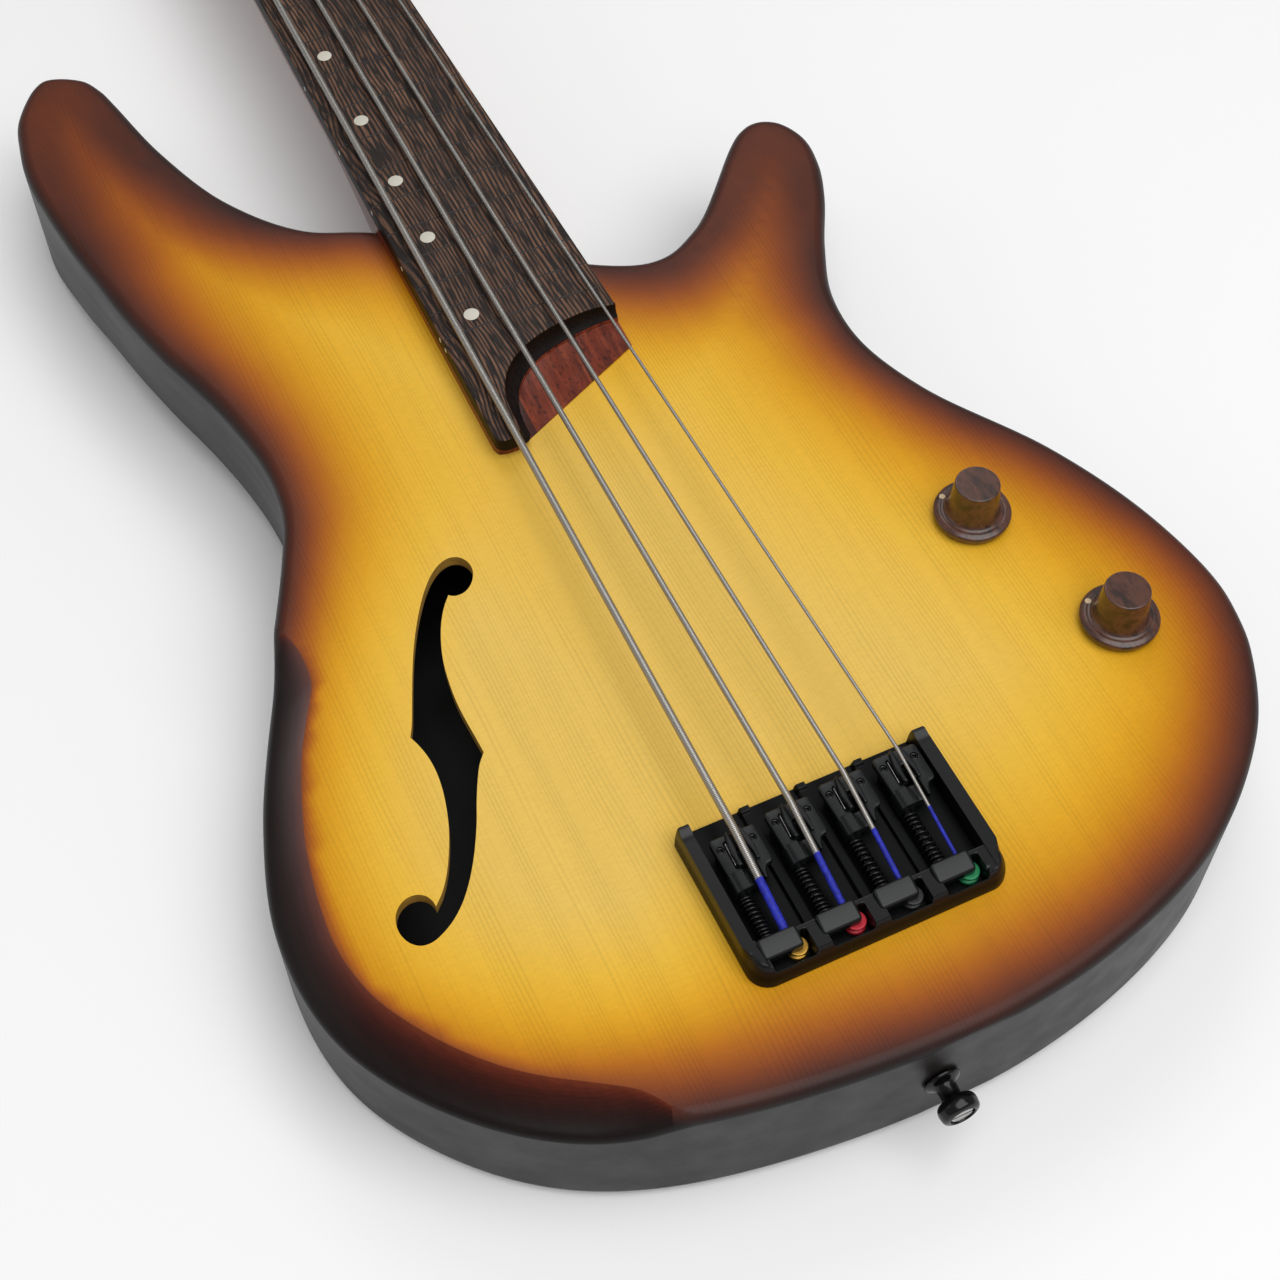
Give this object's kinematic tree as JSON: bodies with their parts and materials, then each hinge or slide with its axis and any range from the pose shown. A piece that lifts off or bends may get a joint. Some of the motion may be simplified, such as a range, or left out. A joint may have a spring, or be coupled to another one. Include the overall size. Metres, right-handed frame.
{
  "type": "acoustic_bass_guitar",
  "caption": "Fretless chambered bass guitar with a sunburst top, f-hole, forearm facet, metal bridge with sliding saddles and a tilted headstock",
  "frame": {"origin": "on the flat back face, on the centre line directly below the saddle line", "axes": "+X to the thin-string side, +Y to the headstock, +Z out of the top through the strings"},
  "size_m": [0.3233, 1.139, 0.0715],
  "materials": {
    "body_wood": "satin dark stained mahogany",
    "top_wood": "satin amber sunburst over spruce",
    "neck_wood": "satin reddish brown",
    "board_wood": "open-grained wenge, oiled",
    "knob_wood": "oiled rosewood",
    "black_metal": "satin black plating",
    "string_metal": "round-wound string with blue silk at its end",
    "bright_metal": "plain nickel",
    "black_plastic": "matt black",
    "nut_bone": "polished bone white"
  },
  "bodies": {
    "guitar": {"body_core": "body_wood", "top_plate": "top_wood", "neck": "neck_wood", "fingerboard": "board_wood", "nut": "nut_bone", "truss_rod": "bright_metal", "control_cover": "black_plastic", "battery": "black_plastic", "preamp_board": "black_plastic", "bridge_base": "black_metal", "output_jack": "black_metal", "spring_e": "black_metal", "string_e": "string_metal", "tuner_bushing_e": "black_metal", "tuner_housing_e": "black_metal", "spring_a": "black_metal", "string_a": "string_metal", "tuner_bushing_a": "black_metal", "tuner_housing_a": "black_metal", "spring_d": "black_metal", "string_d": "string_metal", "tuner_bushing_d": "black_metal", "tuner_housing_d": "black_metal", "spring_g": "black_metal", "string_g": "string_metal", "tuner_bushing_g": "black_metal", "tuner_housing_g": "black_metal", "pot_volume": "bright_metal", "pot_nut_volume": "bright_metal", "pot_tone": "bright_metal", "pot_nut_tone": "bright_metal", "strap_button_tail": "black_metal", "strap_screw_tail": "black_metal", "strap_button_horn": "black_metal", "strap_screw_horn": "black_metal", "neck_screw_1": "black_metal", "neck_screw_2": "black_metal", "neck_screw_3": "black_metal", "neck_screw_4": "black_metal"},
    "volume_control": {"knob_volume": "knob_wood", "pot_shaft_volume": "bright_metal"},
    "tone_control": {"knob_tone": "knob_wood", "pot_shaft_tone": "bright_metal"},
    "key_e": {"tuner_key_e": "black_metal"},
    "post_e": {"tuner_post_e": "black_metal"},
    "key_a": {"tuner_key_a": "black_metal"},
    "post_a": {"tuner_post_a": "black_metal"},
    "key_d": {"tuner_key_d": "black_metal"},
    "post_d": {"tuner_post_d": "black_metal"},
    "key_g": {"tuner_key_g": "black_metal"},
    "post_g": {"tuner_post_g": "black_metal"},
    "saddle_slider_e": {"saddle_e": "black_metal"},
    "intonation_e": {"intonation_screw_e": "black_metal"},
    "saddle_slider_a": {"saddle_a": "black_metal"},
    "intonation_a": {"intonation_screw_a": "black_metal"},
    "saddle_slider_d": {"saddle_d": "black_metal"},
    "intonation_d": {"intonation_screw_d": "black_metal"},
    "saddle_slider_g": {"saddle_g": "black_metal"},
    "intonation_g": {"intonation_screw_g": "black_metal"}
  },
  "joints": [
    {"name": "volume_turn", "type": "hinge", "parent": "guitar", "child": "volume_control", "pos_m": [0.10084, 0.07484, 0.054], "axis": [0, 0, 1], "range_deg": [-150, 150]},
    {"name": "tone_turn", "type": "hinge", "parent": "guitar", "child": "tone_control", "pos_m": [0.12152, 0.01733, 0.054], "axis": [0, 0, 1], "range_deg": [-150, 150]},
    {"name": "key_e_turn", "type": "hinge", "parent": "guitar", "child": "key_e", "pos_m": [-0.0225, 0.90467, 0.03379], "axis": [-1, 0, 0], "continuous": true},
    {"name": "post_e_turn", "type": "hinge", "parent": "guitar", "child": "post_e", "pos_m": [-0.0225, 0.91624, 0.05298], "axis": [0, 0.1045, 0.9945], "continuous": true},
    {"name": "key_a_turn", "type": "hinge", "parent": "guitar", "child": "key_a", "pos_m": [-0.0205, 0.96832, 0.0271], "axis": [-1, 0, 0], "continuous": true},
    {"name": "post_a_turn", "type": "hinge", "parent": "guitar", "child": "post_a", "pos_m": [-0.0205, 0.97989, 0.04629], "axis": [0, 0.1045, 0.9945], "continuous": true},
    {"name": "key_d_turn", "type": "hinge", "parent": "guitar", "child": "key_d", "pos_m": [0.0205, 0.96832, 0.0271], "axis": [1, 0, 0], "continuous": true},
    {"name": "post_d_turn", "type": "hinge", "parent": "guitar", "child": "post_d", "pos_m": [0.0205, 0.97989, 0.04629], "axis": [0, 0.1045, 0.9945], "continuous": true},
    {"name": "key_g_turn", "type": "hinge", "parent": "guitar", "child": "key_g", "pos_m": [0.0225, 0.90467, 0.03379], "axis": [1, 0, 0], "continuous": true},
    {"name": "post_g_turn", "type": "hinge", "parent": "guitar", "child": "post_g", "pos_m": [0.0225, 0.91624, 0.05298], "axis": [0, 0.1045, 0.9945], "continuous": true},
    {"name": "intonation_e_turn", "type": "hinge", "parent": "guitar", "child": "intonation_e", "pos_m": [-0.0342, -0.0403, 0.0602], "axis": [0, 1, 0], "range_deg": [-2160, 2160]},
    {"name": "saddle_e_slide", "type": "slide", "parent": "guitar", "child": "saddle_slider_e", "axis": [0, 1, 0], "range_m": [-0.003, 0.003], "deforming": ["spring_e"]},
    {"name": "intonation_a_turn", "type": "hinge", "parent": "guitar", "child": "intonation_a", "pos_m": [-0.0152, -0.0403, 0.0602], "axis": [0, 1, 0], "range_deg": [-2160, 2160]},
    {"name": "saddle_a_slide", "type": "slide", "parent": "guitar", "child": "saddle_slider_a", "axis": [0, 1, 0], "range_m": [-0.003, 0.003], "deforming": ["spring_a"]},
    {"name": "intonation_d_turn", "type": "hinge", "parent": "guitar", "child": "intonation_d", "pos_m": [0.0038, -0.0403, 0.0602], "axis": [0, 1, 0], "range_deg": [-2160, 2160]},
    {"name": "saddle_d_slide", "type": "slide", "parent": "guitar", "child": "saddle_slider_d", "axis": [0, 1, 0], "range_m": [-0.003, 0.003], "deforming": ["spring_d"]},
    {"name": "intonation_g_turn", "type": "hinge", "parent": "guitar", "child": "intonation_g", "pos_m": [0.0228, -0.0403, 0.0602], "axis": [0, 1, 0], "range_deg": [-2160, 2160]},
    {"name": "saddle_g_slide", "type": "slide", "parent": "guitar", "child": "saddle_slider_g", "axis": [0, 1, 0], "range_m": [-0.003, 0.003], "deforming": ["spring_g"]}
  ],
  "couplings": [
    {"joint": "key_e_turn", "follows": "post_e_turn", "ratio": -20},
    {"joint": "key_a_turn", "follows": "post_a_turn", "ratio": -20},
    {"joint": "key_d_turn", "follows": "post_d_turn", "ratio": 20},
    {"joint": "key_g_turn", "follows": "post_g_turn", "ratio": 20},
    {"joint": "intonation_e_turn", "follows": "saddle_e_slide", "rad_per_m": 12566},
    {"joint": "intonation_a_turn", "follows": "saddle_a_slide", "rad_per_m": 12566},
    {"joint": "intonation_d_turn", "follows": "saddle_d_slide", "rad_per_m": 12566},
    {"joint": "intonation_g_turn", "follows": "saddle_g_slide", "rad_per_m": 12566}
  ]
}
